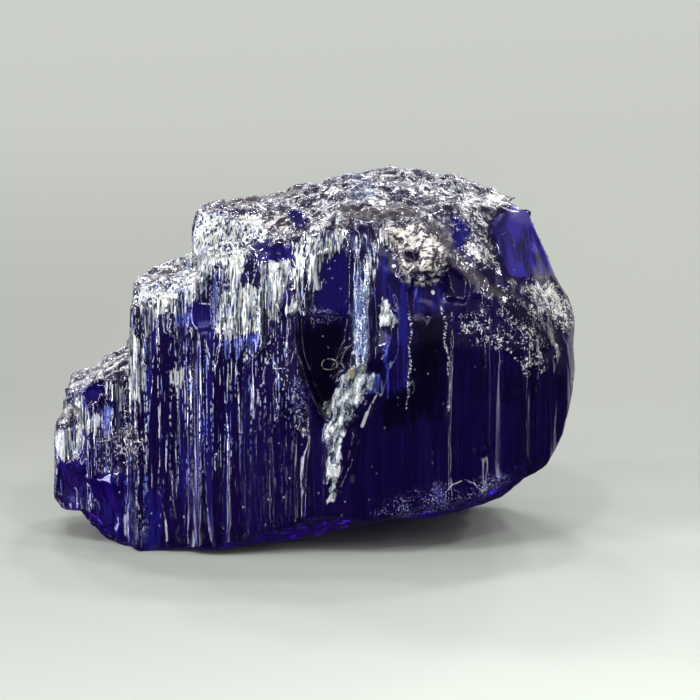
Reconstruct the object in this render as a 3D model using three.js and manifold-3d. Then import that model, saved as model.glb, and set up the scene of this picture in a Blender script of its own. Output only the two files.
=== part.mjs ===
// A rough tanzanite crystal: one natural piece, a striated prism that grew as steps.
// Millimetres, +Z up. +X is the crystal's right seen from its broad front, +Y points to its back.
// The striae run along Z. The crystal rests on a small flat spot of its broken base.
import * as THREE from "three";
import { mergeVertices } from "three/addons/utils/BufferGeometryUtils.js";
import Module from "manifold-3d";

const wasm = await Module();
wasm.setup();

// ---- driving dimensions ----------------------------------------------------------------
const halfWidth = 8.5; // the crystal is 17 mm wide
const height = 11.7;
const depth = 9.6;
const margin = 0.6; // how far a cutting block reaches past the crystal

// The growth steps climb from left to right. left is a step's outer wall, and top its
// height there; the top climbs by rise before the next step's wall.
const steps = [
  { left: -3.86, top: 10.4, rise: 0, right: halfWidth, seed: 11 },
  { left: -5.98, top: 8.2, rise: 0.5, right: -3.4, seed: 23 },
  { left: -8.1, top: 5.0, rise: 1.1, right: -5.6, seed: 37 },
  { left: -halfWidth, top: 3.85, rise: 0.1, right: -7.3, seed: 41 },
];
const wallLean = 0.03; // a step's wall leans inwards by this much for each millimetre of height

// Spacing of the grid lines on each side of the crystal, and so of its ridges and lumps.
const striaPitch = 0.26;
const frontRow = 0.62;
const backPitch = 0.5;
const backRow = 0.9;
const wallPitch = 0.42;
const wallRow = 0.85;
const lumpPitch = 0.4;
const basePitch = 0.75;

// ---- seeded noise ----------------------------------------------------------------------
const fraction = (v) => v - Math.floor(v);
const random = (i, j, seed) =>
  fraction(Math.sin(i * 127.1 + j * 311.7 + seed * 74.7) * 43758.5453);
const mix = (a, b, t) => a + (b - a) * t;
const clamp = (v, low = 0, high = 1) => Math.min(high, Math.max(low, v));
const smooth = (low, high, v) => {
  const t = clamp((v - low) / (high - low));
  return t * t * (3 - 2 * t);
};

// Smooth noise from -1 to 1 with lumps about one unit across.
function lumps(a, b, seed) {
  const i = Math.floor(a);
  const j = Math.floor(b);
  const s = smooth(0, 1, a - i);
  const t = smooth(0, 1, b - j);
  const low = mix(random(i, j, seed), random(i + 1, j, seed), s);
  const high = mix(random(i, j + 1, seed), random(i + 1, j + 1, seed), s);
  return 2 * mix(low, high, t) - 1;
}

// Long parallel ridges, from -1 to 1, across a and along b. Each grid line has its own
// depth, and some ridges end partway along in a small ledge.
function striae(a, b, pitch, seed) {
  const line = Math.round(a / pitch);
  const end = 12 * random(line, 5, seed);
  const fine = 2 * random(line, 0, seed) - 1 + 0.5 * smooth(end, end + 0.6, b);
  const broad = lumps(a / 1.1, b / 9, seed + 1);
  return 0.55 * fine + 0.5 * broad;
}

// A value read off a list of [position, value] corners, straight between them.
function along(profile, at) {
  if (at <= profile[0][0]) return profile[0][1];
  for (let i = 1; i < profile.length; i++) {
    const [a, low] = profile[i - 1];
    const [b, high] = profile[i];
    if (at <= b) return mix(low, high, (at - a) / (b - a));
  }
  return profile[profile.length - 1][1];
}

// A rounded bump of height 1 at the centre, gone at the given half sizes.
const mound = (a, b, halfA, halfB) =>
  smooth(1, 0, Math.hypot(a / halfA, b / halfB));

// ---- the crystal's surfaces ------------------------------------------------------------
// Depth of the front, in y, for a place x, z. The steps lie further back towards the left.
const frontPlan = [
  [-8.6, 2.6], [-7.42, 2.5], [-7.36, 2.0], [-6.0, 1.75], [-5.96, 1.15],
  [-3.85, 1.0], [-3.8, 0.62], [-1.4, 0.5], [2, 0.35], [5.2, 0.5], [7, 1.0], [8.6, 2.6],
];
// The front leans back towards the top, and a little under the base.
const frontLean = [
  [0, 0.2], [1.2, 0.05], [3, 0], [6.5, 0.04], [7.8, 0.2], [9, 0.5], [10.2, 1.0], [12, 2.2],
];
const shoulderStart = { x: 4.3, z: 10.1 };
const shoulderEnd = { x: 8.45, z: 5.0 };
const shoulderSlope = 0.8;
const browLump = { x: 3.55, z: 9.85, halfX: 1.15, halfZ: 1.2, out: 0.75 };
const cheekLump = { x: -0.8, z: 5.3, halfX: 1.15, halfZ: 1.7, out: 0.35 };
// The scar is a broken rib: it starts under the pale rib and runs down to the left.
const scarMiddle = [[2.2, 0.6], [3.0, 0.62], [4.2, 0.9], [5.3, 1.2], [6.3, 1.55], [7.2, 1.6]];
const scarHalf = [[2.2, 0.1], [3.0, 0.22], [4.2, 0.42], [5.3, 0.62], [6.3, 0.66], [7.2, 0.45]];
const scarOut = 0.28;
const chipCount = 26; // broken crumbs along the scar
const chipSize = [0.15, 0.42];

function shoulder(x, z) {
  const runX = shoulderEnd.x - shoulderStart.x;
  const runZ = shoulderEnd.z - shoulderStart.z;
  const across = (x - shoulderStart.x) * -runZ + (z - shoulderStart.z) * runX;
  return Math.max(0, across / Math.hypot(runX, runZ));
}

function scarRidge(x, z) {
  const low = scarMiddle[0][0];
  const high = scarMiddle[scarMiddle.length - 1][0];
  const half = along(scarHalf, z);
  const ends = smooth(low - 0.3, low + 1.2, z) * smooth(high + 0.5, high - 0.3, z);
  return scarOut * ends * smooth(half + 0.25, half - 0.2, Math.abs(x - along(scarMiddle, z)));
}

function front(x, z) {
  const rough = Math.min(1, smooth(8.2, 9.4, z) + smooth(0.1, 0.8, shoulder(x, z)));
  const terraces = 0.12 * Math.sin(z * 8) * mound(x - browLump.x, z - browLump.z, 1.6, 1.6);
  const ridgeDepth = mix(0.15, 0.06, smooth(-0.8, 1.5, x));
  return (
    along(frontPlan, x) +
    along(frontLean, z) +
    shoulderSlope * shoulder(x, z) +
    ridgeDepth * striae(x, z, striaPitch, 3) +
    0.27 * rough * lumps(x / 0.5, z / 0.7, 5) +
    terraces -
    browLump.out * mound(x - browLump.x, z - browLump.z, browLump.halfX, browLump.halfZ) -
    cheekLump.out * mound(x - cheekLump.x, z - cheekLump.z, cheekLump.halfX, cheekLump.halfZ) -
    scarRidge(x, z)
  );
}

// Depth of the back. A cleavage plate stands proud of its lower half.
const backPlan = [
  [-8.6, 6.9], [-7.4, 7.3], [-6.0, 7.7], [-5.95, 8.25], [-3.85, 8.5], [-3.8, 9.0],
  [-0.9, 9.25], [-0.85, 9.5], [3.6, 9.45], [3.65, 9.1], [6, 8.6], [8.6, 6.6],
];
const backLean = [[0, 0.3], [0.9, 0.05], [5.6, 0], [6.2, 0.55], [8.8, 0.7], [10, 1.1], [12, 2.3]];

function back(x, z) {
  const rough = smooth(5.9, 7.5, z) + smooth(2.6, 1, z);
  return (
    along(backPlan, x) -
    along(backLean, z + 0.2 * x) +
    0.15 * striae(x, z, backPitch, 53) +
    0.18 * rough * lumps(x / 0.7, z / 0.9, 57)
  );
}

// The right end is broken into a few big facets.
const rightEdge = [
  [0, 6.7], [2.3, 7.15], [2.9, 7.6], [3.8, 8.1], [5.6, 8.42], [7.3, 8.5],
  [8.1, 8.3], [9.5, 7.55], [10.4, 7.1], [10.9, 6.9], [12, 6.3],
];

function right(y, z) {
  const round = 0.9 * smooth(4.2, 9.6, y) + 0.25 * smooth(2.2, 0, y);
  const hackles = 0.14 * lumps(y / 0.7, z / 0.9, 63);
  return along(rightEdge, z) - round + hackles + 0.07 * striae(y, z, wallPitch, 61);
}

// Height of a step's top: a hummocky etched surface, highest towards the back right.
const crestPlan = [[-4, 10.55], [-2, 10.8], [0, 11.2], [2.7, 11.7], [4.6, 11.45], [6.9, 10.95], [8.5, 10.5]];
const frontDrop = [[-4, 0.95], [-1.7, 0.9], [0.5, 0.6], [2, 0.45], [5, 0.7], [8.5, 0.8]];

function top(step, x, y) {
  const broad = 0.2 * lumps(x / 0.85, y / 0.85, step.seed);
  const hummocks = broad + 0.12 * lumps(x / 0.42, y / 0.42, step.seed + 3);
  if (step !== steps[0])
    return step.top + hummocks + step.rise * clamp((x - step.left) / 2) - 0.2 * smooth(3.2, 1.4, y);
  const fall = along(frontDrop, x) * smooth(5.6, 1, y) + 1.1 * smooth(6.8, 9.4, y);
  return along(crestPlan, x) - 0.12 - fall + hummocks - 0.7 * smooth(-3.2, -3.8, x) * smooth(6, 2, y);
}

// Height of the underside. It is flat at the resting spot and breaks upwards beyond a line
// that runs from the front left to the back right.
const spotStart = { x: -2.55, y: 1.2 };
const spotEnd = { x: 3.95, y: 6.4 };
const breakRise = [
  [0, 0], [0.5, 0.42], [1.4, 0.82], [2.1, 1.05], [3.6, 1.1], [4.5, 1.45], [5.3, 1.75], [6, 2.05], [9, 3.1],
];

function underside(x, y) {
  const runX = spotEnd.x - spotStart.x;
  const runY = spotEnd.y - spotStart.y;
  const beyond = ((x - spotStart.x) * runY - (y - spotStart.y) * runX) / Math.hypot(runX, runY);
  const hackles = 0.22 * smooth(0.2, 1.2, beyond) * lumps(x / 0.9, y / 0.9, 71);
  const broken = along(breakRise, beyond) + hackles;
  const farRight = 0.8 * smooth(5.2, 7.4, x);
  const leftEnds = x < -7.38 ? 1.05 : 0.45 * smooth(-6.7, -7.35, x);
  const rim = 0.3 * smooth(7.9, 9.4, y) + 0.18 * smooth(2.1, 1.2, y) * smooth(-5.2, -4.6, x);
  return Math.max(0, broken) + farRight + leftEnds + rim;
}

// ---- making solids ---------------------------------------------------------------------
function toSolid(geometry) {
  geometry.deleteAttribute("normal");
  geometry.deleteAttribute("uv");
  const merged = mergeVertices(geometry, 1e-4);
  const vertProperties = new Float32Array(merged.getAttribute("position").array);
  const triVerts = new Uint32Array(merged.index.array);
  return new wasm.Manifold(new wasm.Mesh({ numProp: 3, vertProperties, triVerts }));
}

// A block with one relief face. Its grid has uCells by vCells squares, and place(u, v, w)
// gives a grid corner's position: w is 0 on the plain face and 1 on the relief.
function reliefBlock(uCells, vCells, place) {
  const box = new THREE.BoxGeometry(1, 1, 1, uCells, vCells, 1);
  const position = box.getAttribute("position");
  const corner = (i) => place(
    position.getX(i) + 0.5,
    position.getY(i) + 0.5,
    position.getZ(i) + 0.5,
  );
  for (let i = 0; i < position.count; i++) position.setXYZ(i, ...corner(i));
  const index = box.index.array;
  const [origin, alongU, alongV, alongW] = [[0, 0, 0], [1, 0, 0], [0, 1, 0], [0, 0, 1]].map(
    (at) => new THREE.Vector3(...place(...at)),
  );
  const turned = alongU.sub(origin).cross(alongV.sub(origin)).dot(alongW.sub(origin)) < 0;
  if (turned)
    for (let i = 0; i < index.length; i += 3)
      [index[i + 1], index[i + 2]] = [index[i + 2], index[i + 1]];
  return toSolid(box);
}

const cells = (span, pitch) => Math.round(span / pitch);
// Grid lines stray from their even places, so that ridges differ in width.
const stray = (at, pitch, seed) => pitch * 0.55 * (random(Math.round(at / pitch), 3, seed) - 0.5);

const wide = 2 * (halfWidth + margin);
const tall = height + 2 * margin;
const deep = depth + 2 * margin;

function frontBlock() {
  const far = depth + margin;
  return reliefBlock(cells(wide, striaPitch), cells(tall, frontRow), (u, v, w) => {
    const x = (u - 0.5) * wide;
    const z = v * tall - margin;
    const lift = random(Math.round(x / striaPitch), Math.round(z / frontRow), 9) - 0.5;
    const placedX = x + stray(x, striaPitch, 3);
    const placedZ = z + 0.3 * frontRow * lift;
    return [placedX, w ? front(placedX, placedZ) : far, placedZ];
  });
}

function backBlock() {
  const near = -margin;
  return reliefBlock(cells(wide, backPitch), cells(tall, backRow), (u, v, w) => {
    const x = (u - 0.5) * wide;
    const placedX = x + stray(x, backPitch, 53);
    const z = v * tall - margin;
    return [placedX, w ? back(placedX, z) : near, z];
  });
}

function rightBlock() {
  return reliefBlock(cells(deep, wallPitch), cells(tall, wallRow), (u, v, w) => {
    const y = u * deep - margin;
    const placedY = y + stray(y, wallPitch, 61);
    const z = v * tall - margin;
    return [w ? right(placedY, z) : -halfWidth - margin, placedY, z];
  });
}

function undersideBlock() {
  return reliefBlock(cells(wide, basePitch), cells(deep, basePitch), (u, v, w) => {
    const x = (u - 0.5) * wide;
    const y = v * deep - margin;
    return [x, y, w ? underside(x, y) : height + margin];
  });
}

// One growth step: its left wall is striated, its top hummocky.
function stepSolid(step) {
  const wall = reliefBlock(cells(deep, wallPitch), cells(tall, wallRow), (u, v, w) => {
    const y = u * deep - margin;
    const placedY = y + stray(y, wallPitch, step.seed);
    const z = v * tall - margin;
    const left = step.left + wallLean * (z - 0.5 * step.top) + 0.09 * striae(y, z, wallPitch, step.seed);
    return [w ? left : step.right + margin * 2, placedY, z];
  });
  const across = step.right - step.left + 2 * margin;
  const capped = reliefBlock(cells(across, lumpPitch), cells(deep, lumpPitch), (u, v, w) => {
    const x = step.left - margin + u * across;
    const y = v * deep - margin;
    const cell = [Math.round(x / lumpPitch), Math.round(y / lumpPitch)];
    const nudge = (seed) => 0.45 * lumpPitch * (random(...cell, seed) - 0.5);
    const placedX = x + nudge(step.seed);
    const placedY = y + nudge(step.seed + 1);
    const limitedX = u === 1 ? step.right : placedX;
    return [limitedX, placedY, w ? top(step, limitedX, placedY) : -margin];
  });
  return wall.intersect(capped);
}

// A flat-faced cutter: a polygon in x, z pushed from in front of the crystal to the depth y,
// where its floor leans by tilt (degrees, positive where the upper end is deeper).
function pocket({ outline, floor, tilt = 0 }) {
  const shape = new THREE.Shape(outline.map(([x, z]) => new THREE.Vector2(x, z)));
  const middleZ = outline.reduce((sum, [, z]) => sum + z, 0) / outline.length;
  const geometry = new THREE.ExtrudeGeometry(shape, { depth: 1, bevelEnabled: false });
  const position = geometry.getAttribute("position");
  const rise = Math.tan(THREE.MathUtils.degToRad(tilt));
  for (let i = 0; i < position.count; i++) {
    const x = position.getX(i);
    const z = position.getY(i);
    const deepEnd = position.getZ(i) > 0.5;
    const y = deepEnd ? -margin : floor + rise * (z - middleZ);
    position.setXYZ(i, x, y, z);
  }
  return toSolid(geometry);
}

// A column that stands proud of the front or the back, with a slanted broken lower end.
// It follows the face's own lean, and its root lies inside the crystal.
function column({ x, width, low, high, out, slant = 0.25, behind = false }) {
  const outwards = behind ? 1 : -1;
  const face = behind ? back : front;
  const root = 1.2;
  const geometry = new THREE.BoxGeometry(width, out + root, high - low);
  const position = geometry.getAttribute("position");
  for (let i = 0; i < position.count; i++) {
    const side = Math.sign(position.getX(i));
    const outer = Math.sign(position.getY(i)) === outwards;
    const upper = position.getZ(i) > 0;
    const z = upper ? high : low + slant * side * width + (outer ? 0.2 : 0);
    const taper = outer ? 0.88 : 1;
    const reach = outer ? out - (upper ? 0.08 : 0) + 0.06 * side : -root;
    position.setXYZ(i, x + position.getX(i) * taper, face(x, z) + outwards * reach, z);
  }
  return toSolid(geometry);
}

// An irregular crumb set into the front at x, z.
function chip({ x, z, size, seed }) {
  const geometry = new THREE.IcosahedronGeometry(size, 0).deleteAttribute("uv");
  const position = geometry.getAttribute("position");
  const jitter = (i, way) => {
    const at = [position.getX(i), position.getY(i), position.getZ(i)].map((v) => Math.round(v / size * 10));
    return 0.75 + 0.5 * random(at[0] + 5 * at[1] + 23 * at[2], way, seed);
  };
  for (let i = 0; i < position.count; i++) {
    const [jx, jy, jz] = [1, 2, 3].map((way) => jitter(i, way));
    position.setXYZ(i, position.getX(i) * jx, position.getY(i) * jy * 0.7, position.getZ(i) * jz * 1.7);
  }
  geometry.rotateX(0.6 * random(seed, 1, 5) - 0.3).rotateY(1.1 * random(seed, 2, 5) - 0.2);
  geometry.translate(x, front(x, z) + 0.25 * size, z);
  return toSolid(geometry);
}

function scarChips() {
  const low = scarMiddle[0][0];
  const high = scarMiddle[scarMiddle.length - 1][0];
  return Array.from({ length: chipCount }, (_, i) => {
    const z = mix(low + 0.3, high - 0.2, Math.pow((i + random(i, 1, 83)) / chipCount, 0.7));
    const half = along(scarHalf, z);
    const x = along(scarMiddle, z) + half * (2 * random(i, 2, 83) - 1);
    return chip({ x, z, size: mix(...chipSize, random(i, 3, 83)) * Math.min(1, 0.5 + half), seed: i + 1 });
  });
}

// A cutter that takes off everything beyond a flat facet.
function facet({ at, normal, size = 6 }) {
  const geometry = new THREE.BoxGeometry(size, size, size);
  const direction = new THREE.Vector3(...normal).normalize();
  geometry.applyQuaternion(new THREE.Quaternion().setFromUnitVectors(new THREE.Vector3(0, 0, 1), direction));
  const middle = new THREE.Vector3(...at).addScaledVector(direction, size / 2);
  geometry.translate(middle.x, middle.y, middle.z);
  return toSolid(geometry);
}

// ---- the crystal -----------------------------------------------------------------------
const pockets = [
  // the clear window beside the scar, narrowing downwards
  {
    outline: [
      [-0.55, 7.8], [1.12, 7.8], [0.96, 6.9], [0.58, 6.0],
      [0.5, 4.5], [0.24, 4.7], [-0.08, 5.5], [-0.5, 6.6],
    ],
    floor: 1.1,
    tilt: 3,
  },
  // the facet above it
  { outline: [[0.05, 9.7], [1.12, 9.8], [1.14, 7.8], [-0.3, 7.75]], floor: 1.15, tilt: 14 },
  // small facets among the columns
  { outline: [[-1.95, 10.1], [-0.75, 10.05], [-0.75, 9.6], [-1.9, 9.62]], floor: 1.75, tilt: 28 },
  { outline: [[-3.75, 8.7], [-3.15, 9.0], [-3.12, 7.4], [-3.8, 7.35]], floor: 1.25, tilt: 12 },
  { outline: [[3.05, 8.95], [4.1, 9.0], [4.06, 7.85], [3.05, 7.7]], floor: 1.0, tilt: 9 },
  { outline: [[4.12, 9.4], [4.85, 8.9], [4.8, 8.2], [4.1, 8.3]], floor: 1.25, tilt: 12 },
];
const columns = [
  // the pale rib above the scar, and the two blue columns beside it
  { x: 1.48, width: 0.62, low: 6.2, high: 10.7, out: 0.32 },
  { x: 2.28, width: 0.5, low: 6.3, high: 9.9, out: 0.3 },
  { x: 2.82, width: 0.38, low: 5.3, high: 9.5, out: 0.16, slant: -0.5 },
  // the hanging columns at the left
  { x: -2.95, width: 0.34, low: 7.5, high: 9.3, out: 0.22 },
  { x: -2.58, width: 0.32, low: 7.2, high: 9.6, out: 0.3, slant: -0.4 },
  { x: -2.2, width: 0.38, low: 6.75, high: 9.2, out: 0.26 },
  { x: -1.82, width: 0.36, low: 6.5, high: 9.4, out: 0.32, slant: 0.4 },
  { x: -1.2, width: 0.3, low: 7.9, high: 9.7, out: 0.22, slant: -0.4 },
  { x: -0.7, width: 0.36, low: 7.75, high: 10.3, out: 0.24 },
  // the left steps
  { x: -4.5, width: 0.42, low: 6.9, high: 8.3, out: 0.2, slant: -0.4 },
  { x: -5.5, width: 0.5, low: 5.9, high: 8.0, out: 0.16 },
  { x: -6.5, width: 0.4, low: 3.4, high: 5.6, out: 0.2 },
  { x: -7.15, width: 0.4, low: 0.4, high: 4.2, out: 0.14, slant: -0.3 },
  // the right half
  { x: 5.35, width: 0.5, low: 3.2, high: 8.4, out: 0.1, slant: 0.5 },
  { x: 6.6, width: 0.42, low: 2.9, high: 7.2, out: 0.12 },
  // the back
  { x: 3.1, width: 0.9, low: 6.4, high: 9.4, out: 0.3, behind: true },
  { x: 1.4, width: 0.5, low: 6.9, high: 10.1, out: 0.34, behind: true },
  { x: 0.75, width: 0.6, low: 6.3, high: 9.2, out: 0.22, slant: -0.4, behind: true },
  { x: -1.4, width: 0.8, low: 6.6, high: 9.9, out: 0.3, slant: -0.4, behind: true },
  { x: -2.9, width: 0.45, low: 7.2, high: 9.6, out: 0.3, behind: true },
  { x: -5.0, width: 0.6, low: 3.4, high: 7.6, out: 0.2, behind: true },
  { x: 5.6, width: 0.6, low: 5.4, high: 8.4, out: 0.25, slant: -0.3, behind: true },
];
const facets = [
  { at: [6.95, 3.1, 9.9], normal: [0.62, -0.62, 0.38], size: 3.4 },
  { at: [8.2, 2.5, 6.6], normal: [0.86, -0.5, 0.05] },
  { at: [7.8, 2.2, 2.55], normal: [0.5, -0.35, -0.72] },
  { at: [-7.05, 2.6, 0.35], normal: [-0.55, -0.5, -0.6], size: 2 },
  { at: [-8.35, 3.2, 1.3], normal: [-0.8, 0, -0.6], size: 2 },
  { at: [6.6, 8.4, 8.6], normal: [0.5, 0.72, 0.42] },
  { at: [-6.9, 7.3, 4.5], normal: [-0.45, 0.8, 0.4], size: 4 },
  { at: [4.3, 9.2, 1.4], normal: [0.25, 0.7, -0.6] },
  { at: [7.9, 6.2, 3.6], normal: [0.8, 0.5, -0.3], size: 5 },
  { at: [7.5, 5.6, 9.0], normal: [0.72, 0.3, 0.55], size: 4 },
];

function crystalSolid() {
  let solid = stepSolid(steps[0]);
  for (const step of steps.slice(1)) solid = solid.add(stepSolid(step));
  for (const block of [frontBlock(), backBlock(), rightBlock(), undersideBlock()])
    solid = solid.intersect(block);
  for (const one of pockets) solid = solid.subtract(pocket(one));
  for (const one of columns) solid = solid.add(column(one));
  for (const one of scarChips()) solid = solid.add(one);
  for (const one of facets) solid = solid.subtract(facet(one));
  return solid;
}

function crystalGeometry() {
  const mesh = crystalSolid().getMesh();
  const geometry = new THREE.BufferGeometry();
  geometry.setAttribute("position", new THREE.BufferAttribute(mesh.vertProperties, 3));
  geometry.setIndex(new THREE.BufferAttribute(mesh.triVerts, 1));
  geometry.computeBoundingBox();
  const { min, max } = geometry.boundingBox;
  geometry.translate(-(min.x + max.x) / 2, -(min.y + max.y) / 2, -min.z);
  geometry.computeVertexNormals();
  return geometry;
}

const tanzanite = new THREE.MeshStandardMaterial({
  color: 0x1c1070,
  roughness: 0.15,
  metalness: 0,
  flatShading: true,
});
const crystal = new THREE.Mesh(crystalGeometry(), tanzanite);
crystal.name = "tanzanite_crystal";

const group = new THREE.Group();
group.add(crystal);

export default group;
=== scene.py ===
import math
import bmesh
import bpy
import numpy as np
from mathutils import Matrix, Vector


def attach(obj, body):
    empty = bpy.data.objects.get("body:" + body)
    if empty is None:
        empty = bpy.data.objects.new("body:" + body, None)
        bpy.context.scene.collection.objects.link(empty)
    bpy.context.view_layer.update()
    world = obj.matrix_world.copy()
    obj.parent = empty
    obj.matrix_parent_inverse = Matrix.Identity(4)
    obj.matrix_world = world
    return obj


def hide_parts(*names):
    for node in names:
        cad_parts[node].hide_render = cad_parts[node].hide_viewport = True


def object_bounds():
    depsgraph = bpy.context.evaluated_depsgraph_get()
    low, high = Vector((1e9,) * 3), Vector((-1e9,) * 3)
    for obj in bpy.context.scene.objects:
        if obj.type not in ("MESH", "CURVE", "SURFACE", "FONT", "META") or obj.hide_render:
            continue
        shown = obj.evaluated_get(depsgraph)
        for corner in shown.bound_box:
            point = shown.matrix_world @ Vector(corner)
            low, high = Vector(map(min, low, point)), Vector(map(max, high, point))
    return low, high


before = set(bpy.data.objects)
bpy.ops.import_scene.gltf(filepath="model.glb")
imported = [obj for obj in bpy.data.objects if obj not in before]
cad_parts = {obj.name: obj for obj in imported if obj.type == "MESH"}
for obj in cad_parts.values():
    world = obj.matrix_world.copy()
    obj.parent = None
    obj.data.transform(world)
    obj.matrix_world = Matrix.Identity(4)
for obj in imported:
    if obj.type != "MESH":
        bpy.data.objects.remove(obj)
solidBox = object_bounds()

mm = 0.001
print("frame loaded:", ", ".join(sorted(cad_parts)))


class Wire:  # one output socket: an expression on wires adds its own Math nodes
    def __init__(self, bench, socket):
        self.bench = bench
        self.socket = socket

    def math(self, operation, *values):
        return self.bench.add("ShaderNodeMath", {"operation": operation}, list(values))

    def __add__(self, other):
        return self.math("ADD", self, other)

    def __radd__(self, other):
        return self.math("ADD", other, self)

    def __sub__(self, other):
        return self.math("SUBTRACT", self, other)

    def __rsub__(self, other):
        return self.math("SUBTRACT", other, self)

    def __mul__(self, other):
        return self.math("MULTIPLY", self, other)

    def __rmul__(self, other):
        return self.math("MULTIPLY", other, self)

    def __truediv__(self, other):
        return self.math("DIVIDE", self, other)

    def __rtruediv__(self, other):
        return self.math("DIVIDE", other, self)

    def __abs__(self):
        return self.math("ABSOLUTE", self)

    def atMost(self, other):
        return self.math("MINIMUM", self, other)

    def atLeast(self, other):
        return self.math("MAXIMUM", self, other)

    def ease(self, low, high):  # 0 at low, 1 at high, with a soft start and end
        settings = {"interpolation_type": "SMOOTHSTEP"}
        return self.bench.add("ShaderNodeMapRange", settings, {0: self, 1: low, 2: high})


class Bench:  # one node tree, and the one method that adds a node to it
    def __init__(self, tree):
        self.tree = tree

    def add(self, kind, settings=None, inputs=None, output=0):
        node = self.tree.nodes.new(kind)
        for name, value in (settings or {}).items():
            if name == "stops":
                self.setStops(node.color_ramp, value)
            else:
                setattr(node, name, value)
        pairs = inputs.items() if isinstance(inputs, dict) else enumerate(inputs or [])
        for key, value in pairs:
            if isinstance(value, Wire):
                self.tree.links.new(value.socket, node.inputs[key])
            else:
                node.inputs[key].default_value = value
        return Wire(self, node.outputs[output]) if len(node.outputs) else None

    def setStops(self, ramp, stops):
        while len(ramp.elements) > 1:
            ramp.elements.remove(ramp.elements[-1])
        ramp.elements[0].position, ramp.elements[0].color = stops[0]
        for position, colour in stops[1:]:
            ramp.elements.new(position).color = colour

    def vector(self, operation, *values):
        output = 1 if operation in ("DOT_PRODUCT", "LENGTH", "DISTANCE") else 0
        return self.add("ShaderNodeVectorMath", {"operation": operation}, list(values), output)

    def scaled(self, vector, factor):
        return self.add("ShaderNodeVectorMath", {"operation": "SCALE"}, {0: vector, 3: factor})

    def split(self, vector):
        node = self.add("ShaderNodeSeparateXYZ", None, [vector]).socket.node
        return [Wire(self, socket) for socket in node.outputs]

    def join(self, x, y, z):
        return self.add("ShaderNodeCombineXYZ", None, [x, y, z])

    def stretch(self, vector, across, along):  # scales a pattern across and along the striae
        return self.vector("MULTIPLY", vector, (across, across, along))

    def noise(self, vector, scale=1.0, detail=2.0, roughness=0.5, distortion=0.0, output=0):
        inputs = {"Vector": vector, "Scale": scale, "Detail": detail,
                  "Roughness": roughness, "Distortion": distortion}
        return self.add("ShaderNodeTexNoise", None, inputs, output)

    def cells(self, vector, scale=1.0, feature="F1", randomness=1.0, output=0):
        inputs = {"Vector": vector, "Scale": scale, "Randomness": randomness}
        return self.add("ShaderNodeTexVoronoi", {"feature": feature}, inputs, output)

    def blend(self, factor, first, second):
        return self.add("ShaderNodeMix", {"data_type": "RGBA"}, {0: factor, 6: first, 7: second}, 2)


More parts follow.
